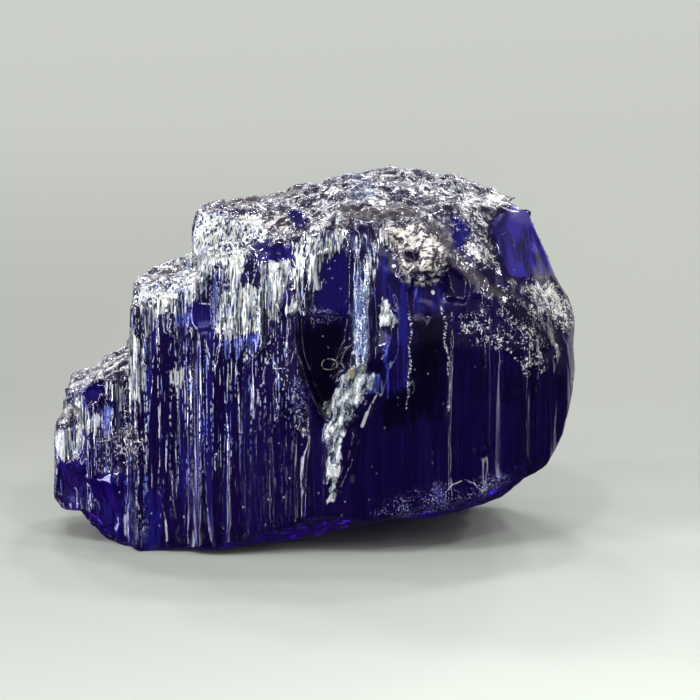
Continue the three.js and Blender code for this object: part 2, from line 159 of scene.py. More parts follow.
# The kinds of surface on the broad front, placed as they look from there, a little from above:
# x across and height up, in hundredths of a mm at the front. Each shape is its corners in order.
frontZones = {"crown": [
    [(-400, 1108), (-425, 1320), (728, 1320), (690, 1192), (662, 1172), (624, 1166), (605, 1140),
     (561, 1095), (542, 1056), (491, 1063), (479, 1089), (435, 1114), (416, 1089), (428, 1031),
     (435, 979), (422, 934), (397, 902), (346, 883), (295, 889), (267, 915), (258, 960), (264, 1011),
     (251, 1056), (226, 1076), (182, 1079), (119, 1073), (81, 1076), (11, 1060), (-27, 1050),
     (-52, 1037), (-77, 1021), (-96, 1031), (-147, 1037), (-166, 1108), (-204, 1121), (-261, 1121),
     (-318, 1121), (-362, 1118)],
    [(-615, 889), (-520, 982), (-412, 1031), (-412, 960), (-425, 928), (-469, 902), (-520, 892),
     (-551, 883), (-577, 863)],
    [(-817, 528), (-757, 644), (-662, 693), (-580, 741), (-580, 670), (-589, 599), (-608, 561),
     (-653, 583), (-690, 590), (-728, 577), (-773, 535)],
    [(-836, 412), (-823, 490), (-779, 503), (-741, 483), (-754, 441), (-792, 425)],
], "window": [
    [(17, 960), (74, 979), (109, 1005), (112, 783), (5, 779), (-5, 837)],
    [(-185, 1037), (-160, 1034), (-134, 1008), (-100, 998), (-71, 1018), (-71, 963), (-182, 963),
     (-198, 1005)],
    [(-387, 825), (-318, 837), (-314, 738), (-393, 747), (-403, 786)],
    [(561, 1089), (586, 1118), (615, 1127), (624, 1163), (662, 1169), (687, 1130), (697, 1069),
     (732, 992), (760, 928), (681, 918), (615, 908), (596, 960), (580, 1015)],
    [(172, 863), (204, 883), (204, 725), (179, 725)],
    [(119, 1063), (137, 1056), (137, 979), (115, 986)],
    [(-103, 870), (-74, 870), (-77, 786), (-106, 796)],
    [(-811, 316), (-725, 329), (-716, 203), (-741, 181), (-785, 190), (-811, 226)],
    [(-703, 274), (-602, 296), (-599, 71), (-640, 55), (-678, 71), (-706, 129)],
    [(-30, 1027), (-2, 1034), (5, 992), (-30, 995)],
    [(-732, 561), (-684, 577), (-659, 561), (-665, 535), (-690, 509), (-722, 506)],
    [(-93, 1124), (-58, 1143), (-27, 1114), (-21, 1069), (-55, 1063), (-74, 1095)],
], "silver": [
    [(-384, 1031), (-374, 1082), (-343, 1118), (-280, 1118), (-179, 1108), (-150, 1040), (-198, 1027),
     (-216, 960), (-242, 873), (-292, 734), (-308, 734), (-302, 837), (-305, 940), (-327, 947),
     (-333, 879), (-374, 844), (-412, 805), (-425, 960), (-400, 979)],
    [(-172, 963), (-74, 960), (-77, 895), (-106, 837), (-112, 767), (-160, 767), (-169, 870)],
    [(-68, 1021), (-36, 1037), (-27, 960), (-36, 844), (-58, 796), (-96, 789), (-96, 808), (-58, 844),
     (-71, 934)],
    [(-27, 1037), (11, 1060), (90, 1076), (93, 1031), (74, 989), (24, 960), (11, 870), (-11, 863),
     (-17, 960)],
    [(-295, 876), (-198, 889), (-166, 870), (-166, 734), (-235, 722), (-292, 722)],
    [(-469, 928), (-419, 940), (-412, 837), (-419, 786), (-450, 799), (-463, 837)],
    [(-548, 883), (-520, 892), (-476, 899), (-466, 812), (-498, 786), (-510, 734), (-536, 718),
     (-551, 741), (-555, 837)],
    [(-580, 715), (-545, 715), (-536, 606), (-548, 515), (-580, 522), (-589, 644)],
    [(-457, 612), (-419, 612), (-419, 564), (-457, 564)],
    [(-820, 425), (-735, 419), (-735, 367), (-747, 335), (-804, 325), (-823, 387)],
    [(-788, 535), (-735, 528), (-728, 490), (-684, 483), (-684, 412), (-728, 419), (-773, 412),
     (-788, 483)],
    [(-659, 567), (-596, 580), (-589, 522), (-640, 509)],
    [(194, 1069), (258, 1089), (277, 1044), (270, 998), (226, 992), (207, 1018)],
], "sky": [
    [(-321, 934), (-302, 928), (-305, 760), (-318, 747), (-321, 837)],
    [(-450, 928), (-416, 928), (-412, 857), (-444, 863)],
    [(-450, 812), (-393, 799), (-397, 741), (-438, 747)],
    [(-220, 728), (-188, 734), (-182, 676), (-201, 660), (-220, 676)],
    [(-198, 886), (-166, 879), (-166, 715), (-185, 702), (-198, 773)],
    [(-678, 499), (-640, 496), (-643, 406), (-665, 387), (-678, 438)],
    [(119, 960), (147, 934), (163, 837), (163, 734), (119, 715)],
    [(163, 580), (210, 606), (213, 554), (182, 522), (156, 535)],
    [(90, 1250), (182, 1262), (194, 1159), (119, 1143)],
    [(-292, 728), (-267, 731), (-264, 664), (-280, 651), (-292, 670)],
    [(-254, 728), (-229, 728), (-226, 660), (-242, 647), (-254, 667)],
], "blue": [
    [(204, 986), (245, 973), (251, 918), (245, 831), (213, 837), (207, 902)],
    [(248, 960), (283, 940), (302, 889), (305, 693), (264, 676), (251, 837)],
    [(-807, 316), (-722, 329), (-719, 193), (-785, 184), (-811, 226)],
    [(-697, 193), (-596, 226), (-593, 65), (-653, 49), (-697, 97)],
    [(-539, 226), (-482, 258), (-479, 49), (-532, 39)],
    [(207, 693), (245, 741), (270, 676), (305, 676), (295, 573), (270, 541), (226, 535)],
    [(-393, 818), (-318, 831), (-314, 738), (-387, 738)],
    [(305, 889), (400, 892), (412, 850), (406, 799), (371, 767), (333, 779), (308, 818)],
    [(-185, 1018), (-77, 1008), (-71, 966), (-182, 963)],
    [(425, 1105), (457, 1114), (491, 1089), (495, 1031), (460, 979), (435, 998), (428, 1044)],
], "violet": [
    [(561, 1089), (586, 1118), (615, 1127), (624, 1163), (662, 1172), (690, 1130), (703, 1069),
     (741, 992), (776, 918), (681, 915), (615, 908), (596, 960), (580, 1015)],
    [(397, 1121), (435, 1114), (431, 1056), (406, 1069)],
], "lilac": [
    [(615, 1150), (649, 1169), (684, 1140), (697, 1082), (649, 1079), (621, 1098)],
# the dark shapes are where shade is painted
], "dark": [
    [(-55, 767), (109, 773), (112, 670), (93, 606), (62, 541), (49, 451), (24, 412), (-2, 435),
     (-24, 515), (-33, 564), (-55, 606)],
    [(311, 773), (406, 805), (416, 693), (409, 435), (194, 412), (201, 528), (302, 548), (308, 676)],
    [(175, 825), (201, 850), (201, 725), (179, 725)],
], "cream": [
    [(210, 1076), (239, 1089), (277, 1082), (308, 1101), (352, 1089), (390, 1063), (419, 1024),
     (412, 979), (428, 940), (400, 915), (384, 883), (359, 902), (327, 883), (305, 918), (280, 912),
     (270, 953), (251, 979), (254, 1011), (220, 1031)],
], "brown": [
    [(-153, 1143), (-100, 1140), (-87, 1079), (-90, 1027), (-137, 1027), (-156, 1089)],
    [(207, 1166), (245, 1169), (258, 1134), (213, 1130)],
], "mauve": [
    [(65, 1140), (333, 1137), (337, 1105), (96, 1098)],
    [(352, 1089), (378, 1092), (435, 1018), (425, 995), (397, 1027)],
    [(466, 944), (498, 937), (608, 850), (599, 834), (548, 857), (479, 895)],
    [(-311, 1172), (-77, 1224), (-36, 1230), (-46, 1176), (-166, 1147), (-273, 1137)],
    [(419, 1011), (460, 998), (504, 960), (536, 902), (510, 886), (466, 928), (425, 953)],
], "glitter": [
    [(485, 1063), (561, 1089), (564, 1031), (586, 960), (605, 915), (548, 928), (491, 940), (444, 960),
     (453, 1011)],
    [(485, 892), (602, 850), (656, 837), (653, 796), (586, 821), (517, 837), (479, 863)],
    [(611, 905), (769, 915), (823, 821), (829, 715), (776, 728), (713, 783), (665, 837), (618, 863)],
    [(409, 779), (466, 821), (586, 825), (713, 779), (782, 693), (763, 618), (713, 561), (649, 599),
     (605, 670), (555, 680), (491, 689), (444, 722)],
    [(-684, 387), (-608, 515), (-583, 515), (-526, 387), (-532, 306), (-646, 290)],
    [(416, 1089), (491, 1095), (542, 1056), (491, 1018), (453, 1011), (435, 1031)],
    [(586, 889), (624, 895), (681, 850), (728, 799), (751, 747), (706, 760), (656, 805), (605, 844)],
    [(428, 786), (491, 773), (542, 696), (517, 676), (460, 715)],
    [(643, 715), (681, 683), (719, 599), (684, 612), (643, 670)],
    [(700, 741), (751, 722), (763, 638), (732, 625), (713, 676)],
    [(419, 992), (466, 1008), (517, 973), (539, 915), (491, 902), (444, 940)],
    [(-84, 490), (-46, 483), (-14, 412), (-33, 387), (-71, 438)],
], "rib": [
    [(125, 1044), (163, 1050), (198, 1031), (204, 960), (182, 889), (172, 805), (175, 709), (163, 612),
     (131, 612), (119, 693), (115, 805), (128, 889), (125, 973)],
], "scar": [
    [(115, 618), (163, 631), (185, 586), (169, 541), (137, 490), (112, 438), (93, 387), (81, 338),
     (81, 290), (62, 193), (46, 193), (43, 290), (33, 371), (30, 419), (52, 464), (36, 490), (43, 515),
     (68, 535), (81, 586)],
    [(207, 841), (232, 834), (248, 802), (264, 767), (251, 750), (213, 757)],
], "frost": [
    [(254, 232), (397, 264), (586, 296), (649, 258), (523, 177), (397, 145), (270, 123), (175, 129),
     (182, 168)],
    [(-96, 825), (-46, 837), (109, 799), (115, 760), (-58, 750), (-96, 779)],
    [(-90, 586), (-46, 606), (-27, 564), (-8, 483), (-2, 400), (-27, 387), (-65, 451), (-90, 515)],
], "ledge": [
    [(280, 995), (302, 1002), (327, 995), (324, 979), (318, 963), (299, 957), (286, 973)],
    [(302, 915), (321, 921), (346, 928), (371, 921), (384, 912), (365, 902), (333, 905), (311, 899)],
]}

# How strong each shape of the kinds that fade in is
zoneStrengths = {
    "silver": (1, 0.45, 0.6, 0.8, 0.45, 0.5, 0.9, 0.8, 0.35, 0.7, 0.5, 0.45, 0.5,),
    "sky": (1, 0.6, 0.5, 0.8, 0.6, 0.6, 0.5, 0.7, 0.5, 0.7, 0.7,),
    "glitter": (0.75, 0.65, 0.68, 0.2, 0.25, 0.35, 0.72, 0.4, 0.4, 0.35, 0.5, 0.32,),
    "frost": (0.5, 0.5, 0.45,),
    "cream": (1,),
}

# The crystal's outline from the front. Its two ends lie far below, where nothing is fitted.
frontOutline = [
    (-994, -451), (-994, 193), (-814, 203), (-820, 338), (-817, 419), (-807, 457), (-788, 480),
    (-788, 532), (-785, 577), (-766, 599), (-725, 609), (-678, 622), (-659, 651), (-615, 676),
    (-586, 699), (-583, 805), (-583, 886), (-570, 902), (-545, 915), (-520, 931), (-472, 953),
    (-450, 976), (-425, 973), (-400, 986), (-384, 1005), (-384, 1069), (-368, 1121), (-349, 1147),
    (-330, 1159), (-302, 1163), (-235, 1166), (-156, 1179), (-93, 1195), (-46, 1221), (-14, 1208),
    (43, 1224), (96, 1243), (150, 1256), (207, 1262), (245, 1272), (302, 1253), (346, 1259),
    (409, 1246), (453, 1250), (498, 1211), (548, 1211), (593, 1176), (634, 1176), (662, 1163),
    (678, 1134), (687, 1089), (713, 1031), (738, 973), (763, 908), (785, 870), (807, 831), (820, 779),
    (817, 693), (823, 618), (814, 541), (798, 467), (785, 387), (763, 354), (902, 193), (1218, -451)
]

# Thin marks on the front: for each colour, half width in mm and corners in hundredths
fineMarks = {"white": [
    (0.055, [(150, 432), (166, 474)]),
    (0.03, [(163, 467), (198, 538)]),
    (0.03, [(-365, 828), (-327, 823)]),
    (0.04, [(-11, 986), (8, 873)]),
    (0.03, [(-52, 876), (-52, 837), (-65, 805), (-84, 796)]),
    (0.016, [(-687, 383), (-646, 387), (-621, 400)]),
    (0.016, [(-577, 383), (-545, 380), (-529, 313)]),
    (0.014, [(-150, 638), (-125, 618), (-90, 618)]),
    (0.014, [(412, 216), (435, 242), (476, 258), (504, 248), (526, 222)]),
    (0.06, [(374, 863), (376, 860)]),
    (0.05, [(251, 947), (253, 944)]),
    (0.06, [(-308, 744), (-302, 738)]),
], "blue": [
    (0.03, [(226, 741), (231, 522)]),
    (0.03, [(220, 683), (223, 635)]),
], "crumbs": [
    (0.045, [(403, 812), (416, 757), (409, 705), (425, 657), (422, 606), (428, 548), (422, 483)]),
    (0.038, [(299, 799), (308, 741), (299, 689), (305, 638), (295, 580), (299, 535), (289, 490)]),
    (0.05, [(-286, 741), (-292, 812), (-273, 857), (-235, 873), (-198, 850), (-182, 799), (-179, 741)]),
]}

# A stretch of wall between the etched parts that is one flat face, without ledges
flatWall = [(295, 876), (397, 876), (430, 880), (440, 800), (435, 693), (289, 693)]

frontView = {
    "elevation": 11.0,   # degrees
    "distance": 120.0,   # mm
    "middle": 5.88,      # mm, the height that is looked at
    "height": 6.7,       # what that height is called on the front
    "across": 0.9647,    # front millimetres to one of the crystal's
    "up": 0.983,
}
fitSettings = {          # all in mm
    "blockPush": 0.26,   # how far the tall block's left wall is moved out
    "slot": 0.12,        # the crown is fitted in slots of this width, from slotStart on
    "slotStart": -9.0,
    "slots": 150,
    "mostLift": 0.3,
    "mostPush": 0.45,
    "mostFlattening": 0.3,
    "facetEdge": 0.06,   # how far a flat facet reaches past its outline
}

# How far in from its edge a kind of surface reaches its full strength, in mm
fadeIn = {"silver": 0.17, "sky": 0.17, "glitter": 0.45, "frost": 0.3, "cream": 0.25}


def inMm(corners):
    return [(x / 100, z / 100) for x, z in corners]


def wayTo(x, z, start, end):  # from each point to the nearest place on a straight line
    (ax, az), (bx, bz) = start, end
    alongX, alongZ = bx - ax, bz - az
    part = ((x - ax) * alongX + (z - az) * alongZ) / (alongX ** 2 + alongZ ** 2)
    part = np.clip(part, 0, 1)
    return ax + part * alongX - x, az + part * alongZ - z


def insideShape(x, z, corners):  # millimetres inside a closed shape, negative outside
    nearest = np.full(len(x), 9.0)
    within = np.zeros(len(x), bool)
    for start, end in zip(corners, corners[1:] + corners[:1]):
        nearest = np.minimum(nearest, np.hypot(*wayTo(x, z, start, end)))
        (ax, az), (bx, bz) = start, end
        if az != bz:
            within ^= ((az > z) != (bz > z)) & (x < ax + (z - az) * (bx - ax) / (bz - az))
    return np.where(within, nearest, -nearest)


def frontPlace(x, y, z):  # where a point looks to be from the front
    tilt = math.radians(frontView["elevation"])
    rise = z - frontView["middle"]
    up = y * math.sin(tilt) + rise * math.cos(tilt)
    away = y * math.cos(tilt) - rise * math.sin(tilt)
    nearer = frontView["distance"] / (frontView["distance"] + away)
    return x * nearer * frontView["across"], frontView["height"] + up * nearer * frontView["up"]


def surfaceFields(place, facing):  # each field is millimetres inside its kind of surface
    x, y, z = place.T / mm
    frontX, frontZ = frontPlace(x, y, z)
    tilt = math.radians(frontView["elevation"])
    shown = facing[:, 2] * math.sin(tilt) - facing[:, 1] * math.cos(tilt)
    shown = np.clip(shown * 5 + 0.1, -1, 1)
    fields = {"frontX": frontX, "frontZ": frontZ, "shown": shown}
    for name, shapes in frontZones.items():
        best = np.full(len(x), -1.0)
        for index, corners in enumerate(shapes):
            depth = insideShape(frontX, frontZ, inMm(corners))
            if name in fadeIn:
                full = np.clip(depth / fadeIn[name], 0, 1) * zoneStrengths[name][index]
                depth = np.where(depth > 0, full, depth * 2)
            best = np.maximum(best, depth)
        fields[name] = np.clip(np.minimum(best, shown), -1, 1)
    flat = np.clip((facing[:, 2] - 0.5) * 2 - np.clip(5 - z, 0, 5) * 0.2, -1, 1)
    part = np.clip(shown, 0, 1)
    fields["crown"] = fields["crown"] * part + flat * (1 - part)
    return fields


fieldNames = ("frontX", "frontZ", "shown") + tuple(frontZones)

skinSettings = {
    "grain": 0.055,        # mm, size of the first even mesh
    "rounding": 3,         # passes that soften the coarse facets
    "facetPasses": 30,     # passes that flatten the clear facets
    "columnDepth": 0.045,  # mm, and so are the four below
    "ridgeDepth": 0.016,
    "hummockHeight": 0.22,
    "pitDepth": 0.08,
    "scarDepth": 0.16,
    "triangles": 190000,
}
# The tree's inputs and the settings that they get
skinInputs = {"Column Depth": "columnDepth", "Ridge Depth": "ridgeDepth",
              "Hummock Height": "hummockHeight", "Pit Depth": "pitDepth",
              "Scar Depth": "scarDepth", "Rounding": "rounding"}


def columnCells(bench, place):  # one random colour and one wall distance for each growth column
    waver = bench.noise(place, scale=0.6, detail=1.0) - 0.5
    x, y, z = bench.split(place)
    bent = bench.join(x + waver * 0.12, y, z)
    tall = bench.stretch(bent, 2.8, 0.1)
    return bench.cells(tall, output=1), bench.cells(tall, feature="DISTANCE_TO_EDGE")


def growthTree(finish):  # moves the even mesh's points out and in to make the fine surface
    tree = bpy.data.node_groups.new("crystalSkin", "GeometryNodeTree")
    tree.interface.new_socket("Geometry", in_out="INPUT", socket_type="NodeSocketGeometry")
    for name in skinInputs:
        kind = "NodeSocketInt" if name == "Rounding" else "NodeSocketFloat"
        tree.interface.new_socket(name, in_out="INPUT", socket_type=kind)
    tree.interface.new_socket("Geometry", in_out="OUTPUT", socket_type="NodeSocketGeometry")
    bench = Bench(tree)
    entry = bench.add("NodeGroupInput").socket.node
    given = {socket.name: Wire(bench, socket) for socket in entry.outputs if socket.name}
    held = {}
    for name in fieldNames:
        held[name] = bench.add("GeometryNodeInputNamedAttribute", {"data_type": "FLOAT"}, {"Name": name})

    rawPlace = bench.add("GeometryNodeInputPosition")
    soft = bench.add("GeometryNodeBlurAttribute", {"data_type": "FLOAT_VECTOR"},
                     {"Value": rawPlace, "Iterations": given["Rounding"], "Weight": 1.0})
    clear = held["window"].ease(-0.05, 0.12).atLeast(held["blue"].ease(-0.35, -0.1))
    flat = bench.add("GeometryNodeBlurAttribute", {"data_type": "FLOAT_VECTOR"},
                     {"Value": soft, "Iterations": skinSettings["facetPasses"], "Weight": clear})
    eased = bench.add("GeometryNodeSetPosition", None,
                      {"Geometry": given["Geometry"], "Position": flat})

    place = bench.scaled(bench.add("GeometryNodeInputPosition"), 1 / mm)
    facing = bench.add("GeometryNodeInputNormal")
    wander = bench.noise(place, scale=1.5, detail=3.0) - 0.5
    crown = (held["crown"] + wander * 0.4).ease(-0.15, 0.2)
    glitter = (held["glitter"] + wander * 0.5).ease(-0.1, 0.3)
    window = (held["window"] + wander * 0.15).ease(-0.05, 0.1)
    leftward = bench.split(place)[0].ease(1.5, -1.5)
    scar = held["scar"].ease(-0.08, 0.1)
    silver = (held["silver"] + wander * 0.4).ease(-0.1, 0.3)
    cream = held["cream"].ease(-0.1, 0.15)
    etched = crown.atLeast(glitter * 0.4).atLeast(cream) * (1 - window)
    upright = (1 - crown) * (1 - window) * (1 - scar)

    cellColour, cellEdge = columnCells(bench, place)
    level = bench.split(cellColour)[0] - 0.5
    ridges = 1 - abs(bench.noise(bench.stretch(place, 3.6, 0.05), detail=1.0) * 2 - 1) * 2.4
    swirl = bench.noise(place, scale=1.4, detail=1.0, output=1)
    swirled = bench.vector("ADD", place, bench.scaled(swirl, 0.9))
    cells = bench.cells(swirled, scale=1.9)
    domes = 0.3 - cells * cells
    knobs = 0.45 - bench.cells(swirled, scale=3.8)
    folds = bench.noise(swirled, scale=1.3, detail=1.5, roughness=0.5) - 0.5
    crumbs = bench.noise(bench.stretch(place, 5.0, 2.2), detail=3.0, roughness=0.6) - 0.5

    # columns and ridges on the upright faces, then lumps, pits, ledges and crumbs where it is etched
    rise = given["Column Depth"] * 2 * level * cellEdge.ease(0.0, 0.06) * upright * (1 - etched)
    rise = rise + given["Ridge Depth"] * ridges * upright * (1 - etched)
    rise = rise * (0.35 + 0.65 * leftward)
    rise = rise + given["Hummock Height"] * (domes + folds * 1.3) * etched
    rise = rise + given["Pit Depth"] * knobs * etched.atLeast(silver * 0.2) * (1 - window)
    shelf = bench.noise(bench.stretch(place, 1.1, 3.2), detail=1.0) - 0.5
    rise = rise + given["Hummock Height"] * 2.0 * shelf * cream
    rise = rise - given["Hummock Height"] * 0.8 * (held["ledge"] + wander * 0.5).ease(-0.1, 0.15)
    rise = rise + given["Scar Depth"] * 2 * crumbs * scar
    rise = rise * (1 - 0.75 * held["violet"].ease(-0.9, -0.35))  # less beside the upper right facet
    rise = rise * bench.split(place)[2].ease(0.05, 0.3)  # the resting spot stays flat
    move = bench.scaled(facing, rise * mm)
    noted = bench.add("GeometryNodeStoreNamedAttribute", {"data_type": "FLOAT", "domain": "POINT"},
                      {"Geometry": eased, "Name": "lump", "Value": knobs})
    grown = bench.add("GeometryNodeSetPosition", None, {"Geometry": noted, "Offset": move})
    real = bench.add("GeometryNodeRealizeInstances", None, [grown])
    skinned = bench.add("GeometryNodeSetMaterial", None, {"Geometry": real, "Material": finish})
    bench.add("NodeGroupOutput", None, [skinned])
    return tree


def fitOutline(place, facing):  # brings the crystal's outline from the front to the one above
    use = fitSettings
    x, y, z = place.T / mm
    frontX, frontZ = frontPlace(x, y, z)
    wall = np.clip(-2.6 - frontX, 0, 1) * np.clip((frontX + 5) * 2, 0, 1)
    x = x - use["blockPush"] * wall * np.clip((frontZ - 9.7) * 4, 0, 1)

    # the crown's top edge is lifted or lowered slot by slot
    frontX, frontZ = frontPlace(x, y, z)
    slots = ((frontX - use["slotStart"]) / use["slot"]).astype(int)
    slots = np.clip(slots, 0, use["slots"] - 1)
    tops = np.full(use["slots"], -9.0)
    np.maximum.at(tops, slots, frontZ)
    outline = inMm(frontOutline)
    upper = [corner for corner in outline if -3.5 < corner[0] < 6.5 and corner[1] > 9]
    middles = np.arange(use["slots"]) * use["slot"] + use["slotStart"] + use["slot"] / 2
    lift = np.interp(middles, *zip(*upper)) - tops
    lift = np.clip(lift, -use["mostLift"], use["mostLift"])
    lift = np.convolve(lift, np.ones(5) / 5, "same")
    near = np.clip((frontX + 3.6) * 2, 0, 1) * np.clip((6.2 - frontX) * 2, 0, 1)
    near = near * np.clip(1.4 - (np.interp(frontX, *zip(*upper)) - frontZ) / 1.2, 0, 1)
    z = z + np.interp(frontX, middles, lift) * near

    # what still sticks out past the outline is drawn in
    frontX, frontZ = frontPlace(x, y, z)
    best = np.full(len(x), 9.0)
    pushX, pushZ = np.zeros(len(x)), np.zeros(len(x))
    for start, end in zip(outline, outline[1:]):
        offX, offZ = wayTo(frontX, frontZ, start, end)
        off = np.hypot(offX, offZ)
        closer = off < best
        best = np.where(closer, off, best)
        pushX, pushZ = np.where(closer, offX, pushX), np.where(closer, offZ, pushZ)
    outside = insideShape(frontX, frontZ, outline) < 0
    amount = np.clip(use["mostPush"] / np.maximum(best, 1e-6), 0, 1)
    amount = np.where(outside, amount, 0) * np.clip((frontZ - 2.4) * 2, 0, 1)
    x, z = x + pushX * amount, z + pushZ * amount

    # each clear window becomes one flat facet
    frontX, frontZ = frontPlace(x, y, z)
    edge = use["facetEdge"]
    faces = [(corners, 0.2) for corners in frontZones["window"]] + [(flatWall, 0.45)]
    for corners, ramp in faces:
        depth = insideShape(frontX, frontZ, inMm(corners))
        inside = (depth > -edge) & (facing[:, 1] < 0.1) & (y < 0)
        if inside.sum() < 30:
            continue
        basis = np.stack([np.ones(inside.sum()), x[inside], z[inside]], 1)
        plane = np.linalg.lstsq(basis, y[inside], rcond=None)[0]
        shift = basis @ plane - y[inside]
        shift = np.clip(shift, -use["mostFlattening"], use["mostFlattening"])
        y[inside] += shift * np.clip((depth[inside] + edge) / ramp, 0, 1)
    return np.stack([x, y, z], 1) * mm


def mergedCopy(node, name):  # the CAD mesh is loose triangles, so a copy of it is merged
    mesh = node.data.copy()
    welded = bmesh.new()
    welded.from_mesh(mesh)
    bmesh.ops.remove_doubles(welded, verts=welded.verts, dist=2e-7)
    welded.to_mesh(mesh)
    welded.free()
    mesh.materials.clear()
    piece = bpy.data.objects.new(name, mesh)
    bpy.context.scene.collection.objects.link(piece)
    return piece


def bakeModifiers(piece):  # turns the evaluated result into the piece's own plain mesh
    graph = bpy.context.evaluated_depsgraph_get()
    mesh = bpy.data.meshes.new_from_object(piece.evaluated_get(graph))
    piece.modifiers.clear()
    piece.data = mesh
    return mesh


def storeFields(mesh):  # fits the outline, then keeps each kind of surface as an attribute
    count = len(mesh.vertices)
    place = np.empty(count * 3)
    facing = np.empty(count * 3)
    mesh.vertices.foreach_get("co", place)
    mesh.vertices.foreach_get("normal", facing)
    place = fitOutline(place.reshape(-1, 3), facing.reshape(-1, 3))
    mesh.vertices.foreach_set("co", place.ravel())
    mesh.update()
    mesh.vertices.foreach_get("normal", facing)
    fields = surfaceFields(place, facing.reshape(-1, 3))
    for name, field in fields.items():
        attribute = mesh.attributes.new(name, "FLOAT", "POINT")
        attribute.data.foreach_set("value", field.astype("f"))


def makeCrystal(finish):
    piece = mergedCopy(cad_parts["tanzanite_crystal"], "tanzanite_visible")
    even = piece.modifiers.new("even", "REMESH")
    even.mode = "VOXEL"
    even.voxel_size = skinSettings["grain"] * mm
    storeFields(bakeModifiers(piece))

    tree = growthTree(finish)
    skin = piece.modifiers.new("skin", "NODES")
    skin.node_group = tree
    for item in tree.interface.items_tree:
        if item.name in skinInputs:
            skin[item.identifier] = skinSettings[skinInputs[item.name]]
    fine = bakeModifiers(piece)
    triangles = sum(len(face.vertices) - 2 for face in fine.polygons)
    print("fine skin:", triangles, "triangles")

    thin = piece.modifiers.new("thin", "DECIMATE")
    thin.ratio = min(1.0, skinSettings["triangles"] / triangles)
    final = bakeModifiers(piece)
    final.polygons.foreach_set("use_smooth", [True] * len(final.polygons))
    print("kept skin:", len(final.polygons), "faces")
    return piece


tanzaniteSettings = {
    "ior": 1.69,
    "absorbPerMm": (0.62, 0.9, 0.31),  # violet-blue body colour
    "clearTint": (0.95, 0.94, 1.0, 1),
    "columnViolet": (0.013, 0.004, 0.09, 1),
    "columnBlue": (0.02, 0.014, 0.25, 1),
    "holeShade": (0.012, 0.003, 0.03, 1),
    "recessShade": (0.035, 0.025, 0.07, 1),
    # silver and cream: painted highlights and glints; silver is also the pale of the rib, the scar and
    # its crumbs
    "silver": (0.88, 0.9, 0.92, 1),
    "cream": (0.93, 0.9, 0.82, 1),
    "paleGreen": (0.3, 0.34, 0.34, 1),  # mid tone of the painted highlights on the streaky skin of the tall block
    "streakShade": (0.03, 0.028, 0.11, 1),
    "curlHighlight": (0.62, 0.67, 0.76, 1),
    "warmCurlHighlight": (0.68, 0.65, 0.57, 1),
    "skyBlue": (0.22, 0.3, 0.75, 1),
    "iceBlue": (0.32, 0.42, 0.65, 1),
    "greyBlue": (0.2, 0.22, 0.33, 1),
    "deepBlue": (0.02, 0.017, 0.33, 1),
    "mauve": (0.085, 0.065, 0.13, 1),
    "greyFilm": (0.24, 0.23, 0.3, 1),
    "smoothMauve": (0.15, 0.13, 0.15, 1),
    "brown": (0.085, 0.06, 0.09, 1),
    "scarPale": (0.4, 0.45, 0.5, 1),
    "scarShade": (0.1, 0.11, 0.19, 1),
    "ribPale": (0.2, 0.26, 0.44, 1),
    "creamShade": (0.36, 0.34, 0.37, 1),
    "violetGlow": (0.038, 0.023, 0.38, 1),  # painted glow for facets that light shines through from behind
    "lilacGlow": (0.1, 0.08, 0.4, 1),
    "windowGlow": (0.008, 0.001, 0.2, 1),
    "darkShade": (0.002, 0.001, 0.012, 1),
    "ochre": (0.55, 0.42, 0.2, 1),
    "white": (0.92, 0.93, 0.97, 1),
    "lineBlue": (0.05, 0.07, 0.5, 1),
    "lineCover": 0.92,  # how much of the clear stone a fine mark hides
    "finestLine": 0.03,  # mm, lines up to this half width are dotted
    "filmMetal": 0.3,
    "filmRoughness": 0.2,
    "ochreSpot": (1.18, 6.0, 0.11, 0.16),  # x, height, half width and half height in mm
    "brownSpot": (1.19, 2.6, 0.08, 0.16),
    "loop": (0.47, 6.31, 0.25, 0.18),
}


class Coat:  # a colour, and how much of the clear stone it covers
    def __init__(self, bench, colour, cover):
        self.bench = bench
        self.colour = colour
        self.cover = cover

    def paint(self, mask, colour, cover):  # one more layer where the mask is 1
        self.colour = self.bench.blend(mask, self.colour, colour)
        self.cover = self.cover + (cover - self.cover) * mask


def nearLine(bench, spot, corners, half):  # 1 on a thin line through the corners on the front
    gap = None
    for (ax, az), (bx, bz) in zip(corners, corners[1:]):
        along = Vector((bx - ax, bz - az, 0))
        away = bench.vector("SUBTRACT", spot, (ax, az, 0))
        part = bench.vector("DOT_PRODUCT", away, along / along.length_squared)
        part = bench.add("ShaderNodeClamp", None, [part])
        away = bench.vector("DISTANCE", away, bench.scaled(along, part))
        gap = away if gap is None else gap.atMost(away)
    return gap.ease(1.15 * half, 0.7 * half)


